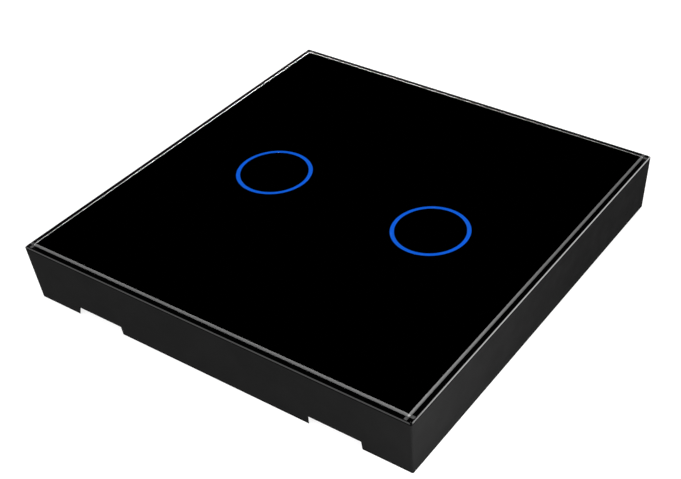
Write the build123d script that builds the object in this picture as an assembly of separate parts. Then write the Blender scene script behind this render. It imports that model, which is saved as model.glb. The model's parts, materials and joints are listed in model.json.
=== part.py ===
"""Wireless light switch: a two-key touch panel of the standard 86 mm type, in millimetres.

The origin is the centre of the back plane, which lies against the wall. +Z points out of the
glass, +X runs along the row of keys, and -Y is the lower edge, which has the two pry notches.
"""

import math
import os

from build123d import *

# Outer form
side = 86.0  # width and height of the front, over the rim
total_height = 12.5  # from the back plane to the front of the glass
side_taper = 0.6  # each side leans in by this much at the back plane
corner_radius = 0.3
rim_chamfer = 0.3
rim_width = 1.0  # land between the outer edge and the glass opening
wall_at_back = 1.5  # thickness of the side walls at their open edge
core_draft = 0.3  # the inside narrows by this much per side up to the deck
inner_corner_radius = 1.2

# Layers: the deck hangs from the front of the glass and the board stands over the wall plate
glass_thickness = 1.1
mask_thickness = 0.1
tape_thickness = 0.2
deck_thickness = 1.2
board_thickness = 1.6
plate_thickness = 1.6
recess_corner_radius = 0.6
glass_clearance = 0.07
glass_proud = 0.3  # the glass stands this far in front of the rim
arris_width = 0.65
arris_drop = 0.35
tape_inset = 0.6
score_depth = 0.06  # faint lines that run on from the glass across the rim's corners

# Keys
key_spacing = 37.0  # between the centres of the two rings
ring_radius = 7.2  # to the middle of the lit line
ring_line = 0.8  # width of the lit line
guide_half_width = 0.7
guide_flange = 1.0
guide_flange_height = 0.8
guide_clearance = 0.1
skirt_clearance = 0.2
guide_light_gap = 0.2

# Touch springs
spring_wire = 0.5
spring_inner_radius = 1.8
spring_turns = 2
spring_flat_turns = 1
spring_turn_step = 1.4  # how far the coil widens in one turn
contact_clearance = 0.02
wire_sides = 4
turn_nudge = 0.001  # share of a turn over which a coil's direction is read

# Circuit board and its screws
board_edge_gap = 3.6  # from the board's edge to the inner wall at the deck
board_corner_radius = 3.0
screw_inset = 5.0  # from the board's edges to the screws
screw_shank_radius = 1.0
screw_head_radius = 1.9
screw_head_height = 1.2
screw_deck_floor = 0.3  # of the deck, left over each screw's pilot hole
boss_radius = 2.6
pilot_clearance = 0.1
board_hole_clearance = 0.15
deck_rib_width = 1.0
deck_rib_share = 0.75  # of the space between the deck and the board

# Wall plate
plate_clearance = 0.15
plate_corner_radius = 1.0
plate_rib_width = 1.0
plate_rib_height = 1.2
loop_rib_inset = 2.75
cross_rib_x = 18.0
wall_screw_spacing = 60.0
wall_slot_radius = 2.2
wall_slot_length = 7.0
wall_slot_rim = 1.4
wall_slot_rim_height = 0.8
pad_length = 60.0
pad_width = 12.0
pad_thickness = 0.8
pad_offset = 24.0
pad_clearance = 0.2
post_radius = 2.0
post_x = 32.0
post_y = 23.0
post_clearance = 0.1

# Snap hooks on the plate, catch ribs in the housing and the pry notches below them
latch_x = 26.9
notch_width = 11.0
notch_height = 1.8
notch_flare = 45.0  # degrees by which a notch's ends spread inwards
pry_recess = 0.9  # depth of the plate's recess behind each notch
pry_recess_margin = 0.25  # by which the recess is narrower than the notch at each end
catch_rib_width = 10.0
catch_rib_reach = 0.9
catch_rib_height = 1.0
catch_rib_top = 4.0
hook_width = 8.0
hook_thickness = 1.2
hook_clearance = 0.15
hook_grip = 0.4
hook_seat_gap = 0.05
hook_height = 4.4
hook_barb_land = 0.5

# Coin cell and its holder
cell_radius = 10.0
cell_height = 3.2
cell_y = -8.0
cell_wall = 0.3
cell_rim = 0.35
cap_shoulder = 1.4  # from the cell's side to the side of its cap
gasket_width = 0.45
cell_clearance = 0.15
cell_float = 0.05
cell_plate_gap = 0.55  # from the wall plate to the cell, with the clip's strap between them
holder_wall = 1.4
holder_floor = 0.4
holder_mouth = 4.0  # how far the holder's arms pass the cell's middle
clip_thickness = 0.3
clip_width = 7.0
clip_foot = 1.6
contact_thickness = 0.2
contact_length = 7.0
contact_width = 3.6
contact_window_gap = 0.4

# Aerial coil
aerial_wire = 0.6
aerial_radius = 1.5
aerial_pitch = 1.2
aerial_turns = 4.5
aerial_edge = 6.0  # from the board's upper edge to the middle of the coil

# Small parts on the board
led_length = 1.6
led_width = 0.8
led_height = 0.8
led_base_height = 0.3
led_lens_share = 0.66
leds_per_ring = 4
controller_length = 9.9
controller_width = 3.9
controller_height = 1.5
controller_pins = 8
controller_place = (0.0, 16.0)
transmitter_length = 2.9
transmitter_width = 1.6
transmitter_height = 1.1
transmitter_pins = 3
transmitter_x = 14.0
transmitter_aerial_gap = 5.0  # between the middles of the transmitter and the aerial coil
pin_thickness = 0.2
pin_width = 0.4
pin_reach = 1.05
pin_foot = 0.5
controller_pin_pitch = 1.27
transmitter_pin_pitch = 0.95
crystal_length = 5.0
crystal_width = 3.2
crystal_height = 1.1
crystal_x = -14.0
crystal_aerial_gap = 4.5
crystal_lid_inset = 0.25
tantalum_length = 3.5
tantalum_width = 2.8
tantalum_height = 1.9
tantalum_place = (18.5, -20.0)
chip_length = 1.6
chip_width = 0.8
chip_end = 0.3
chip_end_step = 0.04
capacitor_height = 0.8
resistor_height = 0.45
capacitor_places = ((-8.0, 20.5), (8.0, 20.5), (18.5, -15.5), (-18.0, -20.0))
resistor_places = ((-19.0, 12.0), (-19.0, 14.5), (19.0, 12.0), (19.0, 14.5), (-18.0, -15.0))
transmitter_capacitor_gap = 4.5  # between the middles of the transmitter and its capacitor
transmitter_resistor_gap = 4.0
crystal_capacitor_gap = 5.0

# Heights and half widths that follow from the sizes above
rim_front = total_height - glass_proud
glass_back = total_height - glass_thickness
mask_back = glass_back - mask_thickness
deck_front = mask_back - tape_thickness
deck_back = deck_front - deck_thickness
cell_back = plate_thickness + cell_plate_gap
cell_front = cell_back + cell_height
board_back = cell_front + cell_float + holder_floor
board_front = board_back + board_thickness
opening_half = side / 2 - rim_width
glass_half = opening_half - glass_clearance
back_half = side / 2 - side_taper
core_half_at_back = back_half - wall_at_back
core_half_at_deck = core_half_at_back - core_draft
board_half = core_half_at_deck - board_edge_gap
screw_offset = board_half - screw_inset
plate_half = core_half_at_back - plate_clearance
key_x = key_spacing / 2
guide_inner = ring_radius - guide_half_width
guide_outer = ring_radius + guide_half_width
flange_outer = guide_outer + guide_flange
flange_back = deck_front - guide_flange_height
led_front = board_front + led_height
catch_tip = core_half_at_back - core_draft * catch_rib_top / deck_back - catch_rib_reach
cap_radius = cell_radius - cap_shoulder
screw_tip = deck_front - screw_deck_floor - pilot_clearance
aerial_y = board_half - aerial_edge
transmitter_place = (transmitter_x, aerial_y - transmitter_aerial_gap)
crystal_place = (crystal_x, aerial_y - crystal_aerial_gap)
capacitor_places += ((transmitter_x, transmitter_place[1] - transmitter_capacitor_gap),)
capacitor_places += ((crystal_x, crystal_place[1] - crystal_capacitor_gap),)
resistor_places += ((transmitter_x - transmitter_resistor_gap, transmitter_place[1]),)
holder_half = cell_radius + cell_clearance + holder_wall
clip_half = holder_half + clip_thickness


def slab(width, depth, low, high, radius=0.0, x=0.0, y=0.0):
    """A flat plate between two heights, with rounded corners where a radius is given."""
    outline = RectangleRounded(width, depth, radius) if radius else Rectangle(width, depth)
    return Pos(x, y, low) * extrude(outline, high - low)


def tapered(low_half, high_half, low, high, radius):
    """A square block whose half width changes evenly from one height to the other."""
    low_face = Pos(0, 0, low) * RectangleRounded(2 * low_half, 2 * low_half, radius)
    high_face = Pos(0, 0, high) * RectangleRounded(2 * high_half, 2 * high_half, radius)
    return loft([low_face, high_face], ruled=True)


def disc(radius, low, high, x=0.0, y=0.0):
    return Pos(x, y, low) * extrude(Circle(radius), high - low)


def four_corners(offset_x, offset_y):
    return [(sx * offset_x, sy * offset_y) for sx in (-1, 1) for sy in (-1, 1)]


def group(solids):
    """Separate solids that share one file."""
    return Compound(children=[solid for shape in solids for solid in shape.solids()])


def biarc(start, start_way, end, end_way):
    """Two arcs that leave start along start_way, reach end along end_way and meet smoothly."""
    chord = end - start
    both = start_way + end_way
    a = 2 * (start_way.dot(end_way) - 1)
    b = -2 * chord.dot(both)
    c = chord.dot(chord)
    reach = (-b - math.sqrt(b * b - 4 * a * c)) / (2 * a)
    middle = (start + start_way * reach + end - end_way * reach) / 2
    first = Edge.make_tangent_arc(start, start_way, middle)
    second = Edge.make_tangent_arc(middle, first % 1, end)
    return [first, second]


def tube(edges, wire):
    """A wire of few flats along a smooth path."""
    path = Wire(edges)
    start = Plane(origin=path @ 0, z_dir=path % 0)
    return sweep(start * RegularPolygon(wire / 2, wire_sides), path=path)


def least_gap(points, wire):
    """The smallest clear distance between one stretch of a wire and another."""
    nearest = math.inf
    along = [0.0]
    for before, after in zip(points, points[1:]):
        along.append(along[-1] + (after - before).length)
    for i, first in enumerate(points):
        for j in range(i + 1, len(points)):
            if along[j] - along[i] > 4 * wire:
                nearest = min(nearest, (first - points[j]).length - wire)
    return nearest


def path_points(edges, count=12):
    return [edge @ (step / count) for edge in edges for step in range(count)]


def coil(place, way, turns):
    """Biarcs along a coil, each for half a turn."""
    edges = []
    for half in range(round(2 * turns)):
        start, end = half / 2, (half + 1) / 2
        edges += biarc(place(start), way(start), place(end), way(end))
    return edges


def front_shell():
    """Housing: drafted sides, a deck that carries the glass, ring wells, bosses and catch ribs."""
    chamfer_low = rim_front - rim_chamfer
    body = tapered(back_half, side / 2, 0, chamfer_low, corner_radius)
    body += tapered(side / 2, side / 2 - rim_chamfer, chamfer_low, rim_front, corner_radius)
    body -= tapered(core_half_at_back, core_half_at_deck, 0, deck_back, inner_corner_radius)
    body -= slab(2 * opening_half, 2 * opening_half, deck_front, rim_front, recess_corner_radius)
    body += deck_ribs()
    for x, y in four_corners(screw_offset, screw_offset):
        body += disc(boss_radius, board_front, deck_back, x, y)
        body -= disc(screw_shank_radius - pilot_clearance, board_front, screw_tip + pilot_clearance, x, y)
    for x in (-key_x, key_x):
        body -= disc(guide_outer + skirt_clearance, board_front, deck_front, x)
        body -= disc(flange_outer + guide_clearance, flange_back, deck_front, x)
    for sx in (-1, 1):
        for sy in (-1, 1):
            body += catch_rib(sx * latch_x, sy)
        body -= pry_notch(sx * latch_x)
    return body - corner_scores()


def deck_ribs():
    """Stiffening ribs under the deck: one between the keys and one above and below them."""
    low = deck_back - deck_rib_share * (deck_back - board_front)
    length = 2 * core_half_at_deck
    rib_y = (ring_radius + screw_offset) / 2
    ribs = slab(deck_rib_width, length, low, deck_back)
    for y in (-rib_y, rib_y):
        ribs += slab(length, deck_rib_width, low, deck_back, 0, 0, y)
    return ribs


def catch_rib(x, way):
    """Rib on the inner wall that a snap hook holds, with a sloping underside."""
    wall = back_half - wall_at_back / 2
    low = catch_rib_top - catch_rib_height
    profile = Polyline(
        (wall, catch_rib_top),
        (catch_tip, catch_rib_top),
        (catch_tip, low),
        (wall, low - (wall - catch_tip)),
        close=True,
    )
    return across(profile, catch_rib_width, x, way)


def across(profile, width, x, way):
    """Extrudes an outline of distance from the centre and height along X, towards +Y or -Y."""
    face = Plane.YZ * make_face(profile)
    rib = Pos(x - width / 2, 0, 0) * extrude(face, width)
    return rib if way > 0 else mirror(rib, about=Plane.XZ)


def pry_notch(x):
    """Opening through the lower side wall, its ends spreading inwards from the outer face."""
    inside = back_half - wall_at_back - side_taper
    slope = math.tan(math.radians(notch_flare))
    narrow = notch_width / 2 - side_taper * slope
    wide = notch_width / 2 + (back_half - inside) * slope
    outline = Polyline(
        (x - narrow, -side / 2),
        (x + narrow, -side / 2),
        (x + wide, -inside),
        (x - wide, -inside),
        close=True,
    )
    return extrude(make_face(outline), notch_height)


def corner_scores():
    """Fine lines that run on from the arris of the glass across the rim's corners."""
    low = rim_front - score_depth
    start = opening_half - recess_corner_radius
    length = side / 2 - start
    middle = start + length / 2
    line = glass_half - arris_width / 2
    scores = []
    for sx, sy in four_corners(1, 1):
        scores.append(slab(length, arris_width, low, rim_front, 0, sx * middle, sy * line))
        scores.append(slab(arris_width, length, low, rim_front, 0, sx * line, sy * middle))
    return scores


def glass_panel():
    """Front glass with a ground arris round its front edge."""
    arris_low = total_height - arris_drop
    corner = recess_corner_radius
    body = slab(2 * glass_half, 2 * glass_half, glass_back, arris_low, corner)
    return body + tapered(glass_half, glass_half - arris_width, arris_low, total_height, corner)


def ink_mask():
    """Black print on the back of the glass, open along the two lit rings."""
    mask = slab(2 * glass_half, 2 * glass_half, mask_back, glass_back, recess_corner_radius)
    for x in (-key_x, key_x):
        ring = disc(ring_radius + ring_line / 2, mask_back, glass_back, x)
        mask -= ring - disc(ring_radius - ring_line / 2, mask_back, glass_back, x)
    return group([mask])


def glass_adhesive():
    """Sheet of double-sided tape between the deck and the print, open round the light guides."""
    half = glass_half - tape_inset
    sheet = slab(2 * half, 2 * half, deck_front, mask_back, recess_corner_radius)
    for x in (-key_x, key_x):
        sheet -= disc(flange_outer - guide_flange / 2, deck_front, mask_back, x)
    return sheet


def ring_guide(x):
    """Light guide: a ring with a skirt over the lamps and a flange that sits in the deck."""
    skirt_low = led_front + guide_light_gap
    profile = Polyline(
        (guide_inner, skirt_low),
        (guide_outer, skirt_low),
        (guide_outer, flange_back),
        (flange_outer, flange_back),
        (flange_outer, deck_front),
        (guide_outer, deck_front),
        (guide_outer, mask_back),
        (guide_inner, mask_back),
        close=True,
    )
    return Pos(x, 0, 0) * revolve(Plane.XZ * make_face(profile), Axis.Z)


def touch_spring(x):
    """Spring from the board to the back of the print: a straight leg, then a widening coil."""
    base = Vector(x + spring_inner_radius, -spring_wire, board_front)
    leg_top = base + Vector(0, 0, spring_wire)
    low = leg_top.Z + spring_wire
    high = mask_back - spring_wire / 2 - contact_clearance
    climb_turns = spring_turns - spring_flat_turns

    def place(turn):
        radius = spring_inner_radius + spring_turn_step * turn
        angle = 2 * math.pi * turn
        height = low + (high - low) * min(turn / climb_turns, 1)
        return Vector(x + radius * math.cos(angle), radius * math.sin(angle), height)

    def way(turn):
        return (place(turn + turn_nudge) - place(turn)).normalized()

    edges = [Edge.make_line(base, leg_top)]
    edges += biarc(leg_top, Vector(0, 0, 1), place(0), way(0))
    edges += coil(place, way, spring_turns)
    tip = place(spring_turns)
    edges.append(Edge.make_line(tip, tip + way(spring_turns) * spring_wire))
    print("touch spring gap", round(least_gap(path_points(edges), spring_wire), 3))
    return tube(edges, spring_wire)


def main_board():
    """Circuit board with clearance holes for its screws."""
    board = slab(2 * board_half, 2 * board_half, board_back, board_front, board_corner_radius)
    for x, y in four_corners(screw_offset, screw_offset):
        board -= disc(screw_shank_radius + board_hole_clearance, board_back, board_front, x, y)
    return board


def board_screws():
    """Four pan-head screws that hold the board to the bosses."""
    screws = []
    for x, y in four_corners(screw_offset, screw_offset):
        head_low = board_back - screw_head_height
        head = disc(screw_head_radius, head_low, board_back, x, y)
        head = chamfer(head.edges().sort_by(Axis.Z)[0], screw_head_height / 3)
        shank = disc(screw_shank_radius - pilot_clearance, board_back, screw_tip, x, y)
        screws.append(head + shank)
    return group(screws)


def wall_plate():
    """Plate fixed to the wall: ribs, screw slots, pad recesses, rest posts and four snap hooks."""
    plate = slab(2 * plate_half, 2 * plate_half, 0, plate_thickness, plate_corner_radius)
    plate += plate_ribs()
    for x in (-wall_screw_spacing / 2, wall_screw_spacing / 2):
        rim_high = plate_thickness + wall_slot_rim_height
        plate += wall_slot(x, wall_slot_rim, 0, rim_high)
        plate -= wall_slot(x, 0, 0, rim_high)
    for y in (-pad_offset, pad_offset):
        recess = (pad_length + 2 * pad_clearance, pad_width + 2 * pad_clearance)
        plate -= slab(*recess, 0, pad_thickness, 0, 0, y)
    for x, y in four_corners(post_x, post_y):
        plate += disc(post_radius, plate_thickness, board_back - post_clearance, x, y)
    recess_width = notch_width - 2 * pry_recess_margin
    for sx in (-1, 1):
        plate -= slab(recess_width, 2 * pry_recess, 0, plate_thickness, 0, sx * latch_x, -plate_half)
        for sy in (-1, 1):
            plate += snap_hook(sx * latch_x, sy)
    return plate


def wall_slot(x, margin, low, high):
    """Slot for a wall screw, or the raised rim round it where a margin is given."""
    radius = wall_slot_radius + margin
    outline = SlotOverall(wall_slot_length + 2 * margin, 2 * radius)
    return Pos(x, 0, low) * extrude(outline, high - low)


def plate_ribs():
    """A rib loop inside the plate's edge and two ribs across it."""
    high = plate_thickness + plate_rib_height
    outer = plate_half - loop_rib_inset
    inner = outer - plate_rib_width
    ribs = slab(2 * outer, 2 * outer, plate_thickness, high, plate_corner_radius)
    ribs -= slab(2 * inner, 2 * inner, plate_thickness, high, plate_corner_radius / 2)
    for x in (-cross_rib_x, cross_rib_x):
        ribs += slab(plate_rib_width, 2 * inner, plate_thickness, high, 0, x)
    return ribs


def snap_hook(x, way):
    """Upright arm with an outward barb that rests just over a catch rib."""
    arm_out = catch_tip - hook_clearance
    arm_in = arm_out - hook_thickness
    barb_tip = catch_tip + hook_grip
    barb_low = catch_rib_top + hook_seat_gap
    top = plate_thickness + hook_height
    profile = Polyline(
        (arm_in, plate_thickness / 2),
        (arm_out, plate_thickness / 2),
        (arm_out, barb_low),
        (barb_tip, barb_low),
        (barb_tip, barb_low + hook_barb_land),
        (arm_out - hook_clearance, top),
        (arm_in, top),
        close=True,
    )
    return across(profile, hook_width, x, way)


def adhesive_pads():
    """Two foam pads in the recesses of the plate's back."""
    pads = []
    for y in (-pad_offset, pad_offset):
        pads.append(slab(pad_length, pad_width, 0, pad_thickness, 0, 0, y))
    return group(pads)


def cell_cap_sizes():
    can_inner = cell_radius - cell_wall
    return can_inner, cell_back + cell_wall


def coin_cell_can():
    """Steel cup of the cell, its closed face towards the wall and its rim rolled in."""
    can_inner, floor_front = cell_cap_sizes()
    rim_low = cell_front - cell_rim
    cup = disc(cell_radius, cell_back, rim_low, 0, cell_y)
    cup = chamfer(cup.edges().sort_by(Axis.Z)[0], cell_wall / 2)
    cup -= disc(can_inner, floor_front, rim_low, 0, cell_y)
    return cup


def coin_cell_gasket():
    """Sealing ring between the cup and the cap."""
    can_inner, floor_front = cell_cap_sizes()
    high = cell_front - cell_rim / 2
    ring = disc(can_inner, floor_front, high, 0, cell_y)
    return ring - disc(can_inner - gasket_width, floor_front, high, 0, cell_y)


def coin_cell_cap():
    """Filled cap of the cell, towards the board, with a bevelled shoulder."""
    can_inner, floor_front = cell_cap_sizes()
    core = disc(can_inner - gasket_width, floor_front, cell_front - cell_rim, 0, cell_y)
    crown = disc(cap_radius, floor_front, cell_front, 0, cell_y)
    crown = chamfer(crown.edges().sort_by(Axis.Z)[-1], cell_rim / 2)
    return core + crown


def battery_holder():
    """Moulded cradle: a floor on the board and walls round three sides of the cell."""
    high_y = cell_y + holder_half
    low_y = cell_y - holder_mouth
    middle_y = (low_y + high_y) / 2
    pocket = cell_radius + cell_clearance
    body = slab(2 * holder_half, high_y - low_y, cell_back, board_back, holder_wall, 0, middle_y)
    floor_back = board_back - holder_floor
    body -= disc(pocket, cell_back, floor_back, 0, cell_y)
    body -= slab(2 * pocket, 2 * pocket, cell_back, floor_back, 0, 0, cell_y - pocket)
    window = (contact_width + 2 * contact_window_gap, contact_length + 2 * contact_window_gap)
    return body - slab(*window, floor_back, board_back, 0, 0, cell_y)


def battery_positive_clip():
    """Spring strap over the back of the cell, folded down both walls to feet on the board."""
    strap_back = cell_back - clip_thickness
    profile = Polyline(
        (-clip_half - clip_foot, board_back),
        (-clip_half - clip_foot, board_back - clip_thickness),
        (-clip_half, board_back - clip_thickness),
        (-clip_half, strap_back),
        (clip_half, strap_back),
        (clip_half, board_back - clip_thickness),
        (clip_half + clip_foot, board_back - clip_thickness),
        (clip_half + clip_foot, board_back),
        (holder_half, board_back),
        (holder_half, cell_back),
        (-holder_half, cell_back),
        (-holder_half, board_back),
        close=True,
    )
    return Pos(0, cell_y + clip_width / 2, 0) * extrude(Plane.XZ * make_face(profile), clip_width)


def battery_negative_contact():
    """Bowed leaf that stands on the board and touches the cell's cap through the floor."""
    half = contact_length / 2
    foot = board_back
    crest = cell_front + contact_clearance
    inner_crest = crest + contact_thickness
    outer = ThreePointArc((-half, foot), (0, crest), (half, foot))
    right = Line((half, foot), (half - contact_thickness * 2, foot))
    inner = ThreePointArc(right @ 1, (0, inner_crest), (contact_thickness * 2 - half, foot))
    left = Line(inner @ 1, (-half, foot))
    face = Plane.YZ * make_face([outer, right, inner, left])
    return Pos(-contact_width / 2, cell_y, 0) * extrude(face, contact_width)


def aerial_coil():
    """Coiled aerial wire between the plate and the board, with both legs straight up to the board."""
    centre_z = (plate_thickness + board_back) / 2
    start_x = -aerial_turns * aerial_pitch / 2

    def place(turn):
        angle = 2 * math.pi * turn
        across_y = aerial_y + aerial_radius * math.cos(angle)
        height = centre_z - aerial_radius * math.sin(angle)
        return Vector(start_x + aerial_pitch * turn, across_y, height)

    def way(turn):
        if turn == 0:
            return Vector(0, 0, -1)
        if turn == aerial_turns:
            return Vector(0, 0, 1)
        return (place(turn + turn_nudge) - place(turn - turn_nudge)).normalized()

    first, last = place(0), place(aerial_turns)
    edges = [Edge.make_line(Vector(first.X, first.Y, board_back), first)]
    edges += coil(place, way, aerial_turns)
    edges.append(Edge.make_line(last, Vector(last.X, last.Y, board_back)))
    print("aerial coil gap", round(least_gap(path_points(edges), aerial_wire), 3))
    return tube(edges, aerial_wire)


def ring_leds(x):
    """Lamps under one light guide, each a base with a clear block on it."""
    lamps = []
    for number in range(leds_per_ring):
        angle = 360 * (number + 0.5) / leds_per_ring
        lamp = slab(led_length, led_width, 0, led_base_height)
        lamp += slab(led_length * led_lens_share, led_width, led_base_height, led_height)
        spot = Pos(x, 0, board_front) * Rot(0, 0, angle) * Pos(ring_radius, 0, 0) * Rot(0, 0, 90)
        lamps.append(spot * lamp)
    return group(lamps)


def chip_with_pins(length, width, height, pins, pitch, place):
    """Moulded package with bent pins on both long sides, under the board."""
    body = slab(length, width, board_back - height, board_back - pin_thickness / 2, 0, *place)
    body = chamfer(body.faces().sort_by(Axis.Z)[0].edges(), pin_thickness)
    shoulder = board_back - height / 2
    half = width / 2
    profile = Polyline(
        (half - pin_thickness, shoulder),
        (half + pin_reach - pin_foot, shoulder),
        (half + pin_reach - pin_foot, board_back - pin_thickness),
        (half + pin_reach, board_back - pin_thickness),
        (half + pin_reach, board_back),
        (half + pin_reach - pin_foot - pin_thickness, board_back),
        (half + pin_reach - pin_foot - pin_thickness, shoulder + pin_thickness),
        (half - pin_thickness, shoulder + pin_thickness),
        close=True,
    )
    for number in range(pins):
        x = (number - (pins - 1) / 2) * pitch
        for way in (-1, 1):
            body += Pos(*place, 0) * across(profile, pin_width, x, way)
    return body


def crystal():
    """Ceramic base with a metal lid, under the board."""
    base_low = board_back - crystal_height / 2
    lid = (crystal_length - 2 * crystal_lid_inset, crystal_width - 2 * crystal_lid_inset)
    body = slab(crystal_length, crystal_width, base_low, board_back, 0, *crystal_place)
    low = board_back - crystal_height
    return body + slab(*lid, low, base_low, crystal_lid_inset, *crystal_place)


def tantalum_capacitor():
    """Moulded block with a bevelled marked end and a folded tab at each end."""
    low = board_back - tantalum_height
    body = slab(tantalum_length, tantalum_width, low, board_back - pin_thickness, 0, *tantalum_place)
    body = chamfer(body.edges().group_by(Axis.Z)[0].sort_by(Axis.X)[-1], pin_foot)
    for way in (-1, 1):
        x = tantalum_place[0] + way * tantalum_length / 2
        middle = board_back - tantalum_height / 2
        body += slab(pin_thickness, pin_reach * 2, middle, board_back, 0, x, tantalum_place[1])
        foot_x = x - way * pin_foot / 2
        low_foot = board_back - pin_thickness
        body += slab(pin_foot, pin_reach * 2, low_foot, board_back, 0, foot_x, tantalum_place[1])
    return body


def chips(places, height):
    """Small two-ended chips under the board, with slightly raised end caps."""
    made = []
    for x, y in places:
        step = chip_end_step
        middle = slab(chip_length, chip_width - 2 * step, board_back - height + step, board_back, 0, x, y)
        for way in (-1, 1):
            end_x = x + way * (chip_length - chip_end) / 2
            middle += slab(chip_end, chip_width, board_back - height, board_back, 0, end_x, y)
        made.append(middle)
    return group(made)


def parts():
    controller = (controller_length, controller_width, controller_height, controller_pins)
    transmitter = (transmitter_length, transmitter_width, transmitter_height, transmitter_pins)
    return {
        "wall_plate": wall_plate(),
        "adhesive_pads": adhesive_pads(),
        "front_shell": front_shell(),
        "glass_panel": glass_panel(),
        "ink_mask": ink_mask(),
        "glass_adhesive": glass_adhesive(),
        "ring_guide_left": ring_guide(-key_x),
        "ring_guide_right": ring_guide(key_x),
        "touch_spring_left": touch_spring(-key_x),
        "touch_spring_right": touch_spring(key_x),
        "main_board": main_board(),
        "board_screws": board_screws(),
        "ring_leds_left": ring_leds(-key_x),
        "ring_leds_right": ring_leds(key_x),
        "touch_controller": chip_with_pins(*controller, controller_pin_pitch, controller_place),
        "radio_transmitter": chip_with_pins(*transmitter, transmitter_pin_pitch, transmitter_place),
        "crystal": crystal(),
        "tantalum_capacitor": tantalum_capacitor(),
        "chip_capacitors": chips(capacitor_places, capacitor_height),
        "chip_resistors": chips(resistor_places, resistor_height),
        "aerial_coil": aerial_coil(),
        "battery_holder": battery_holder(),
        "battery_positive_clip": battery_positive_clip(),
        "battery_negative_contact": battery_negative_contact(),
        "coin_cell_can": coin_cell_can(),
        "coin_cell_cap": coin_cell_cap(),
        "coin_cell_gasket": coin_cell_gasket(),
    }


os.makedirs("parts", exist_ok=True)
for name, shape in parts().items():
    export_step(shape, f"parts/{name}.step")
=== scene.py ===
"""Looks of a two-key touch light switch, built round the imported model's frame.

Lengths are in metres, written as millimetres times MM. The sizes of textures and bumps, the screws
and what lies on the board are in plain millimetres.
"""

import json
import math
from functools import reduce

import bmesh
import bpy
from mathutils import Matrix, Vector


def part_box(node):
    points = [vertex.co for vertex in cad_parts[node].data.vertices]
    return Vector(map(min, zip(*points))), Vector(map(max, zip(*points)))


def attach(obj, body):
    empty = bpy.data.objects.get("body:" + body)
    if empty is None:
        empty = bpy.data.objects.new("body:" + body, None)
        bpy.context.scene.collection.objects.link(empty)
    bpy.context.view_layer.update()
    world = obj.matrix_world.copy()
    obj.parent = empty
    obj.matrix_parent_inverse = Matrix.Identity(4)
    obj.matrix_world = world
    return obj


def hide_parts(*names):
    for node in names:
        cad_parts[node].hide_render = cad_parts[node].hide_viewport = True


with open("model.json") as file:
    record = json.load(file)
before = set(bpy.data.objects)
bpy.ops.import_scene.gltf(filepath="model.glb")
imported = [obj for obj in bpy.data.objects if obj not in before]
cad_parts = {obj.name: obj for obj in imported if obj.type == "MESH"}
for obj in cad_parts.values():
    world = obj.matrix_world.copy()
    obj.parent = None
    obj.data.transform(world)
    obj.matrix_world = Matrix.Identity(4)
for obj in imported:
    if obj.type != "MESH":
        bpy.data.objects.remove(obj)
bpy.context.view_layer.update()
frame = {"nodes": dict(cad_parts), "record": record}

MM = 0.001
glass_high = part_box("glass_panel")[1]
shell_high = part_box("front_shell")[1]
board_low, board_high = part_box("main_board")

# Sizes of the front that the materials' masks use
soft_edge = 0.01 * MM
arris_drop = 0.35 * MM
ground_start = glass_high.x - 0.42 * MM  # further out the arris is ground, further in it is polished
rim_top = shell_high.z
rim_land = shell_high.x - 0.32 * MM  # half the width over the rim's flat top
chamfer_foot = rim_top - 0.3 * MM
bright_line = 0.17 * MM  # height of the polished line above the chamfer's foot
shade_band_height = 0.25 * MM  # height of the band of painted shade below it
foot_shade = (0.2 * MM, 0.35 * MM)  # heights between which the painted shade along the foot ends
score_floor = (rim_top - 0.09 * MM, rim_top - 0.03 * MM)  # the rim's scores are 0.06 mm deep

# Sizes of the inner pieces that the frame's boxes don't give
sides = ("left", "right")
pin_reach = 1.05 * MM  # from a chip's body to the tips of its pins
chip_end = 0.3 * MM  # tinned end of a small chip
chip_space = 1 * MM  # half the room that a small chip has to itself
lamp_base_height = 0.3 * MM
pin_mark_x = 12 * MM  # from the middle of the plate to the ejector marks
pin_mark_rows = (-34 * MM, -12 * MM, 12 * MM, 34 * MM)
pin_mark_radius = 1.5 * MM
plus_arm = 1.5 * MM
plus_line = 0.28 * MM
plus_drop = 7 * MM  # from the cell's middle to its plus sign
spring_wire = 0.5 * MM
spring_radius = 1.8 * MM
spring_widening = 1.4 * MM  # in each turn
spring_steps = 24  # points in each turn
aerial_wire = 0.6 * MM
aerial_turns = 4.5
aerial_steps = 16
aerial_leg = 0.6 * MM

# Sizes of the screws, in mm
screw_head_height = 1.2
screw_head_radius = 1.9
screw_head_side = 0.5
screw_dome = 0.7  # by which the dome draws in
dome_steps = 5
screw_turns = (0.35, 0.96, 1.4, 0.6)  # radians by which each screw's cross is turned
recess_mouth = (0.98, 0.24)  # reach and half width of the cross's arms
recess_floor = (0.42, 0.16)
recess_depth = 0.75
thread_pitch = 0.5
thread_rows = 4  # in each turn
thread_root = 0.72
thread_crest = 0.94
crest_slope = 3.4  # how fast a crest falls away on both sides
thread_sides = 12
thread_tip = 0.75  # share of its radius that the thread's last three rows keep

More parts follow.
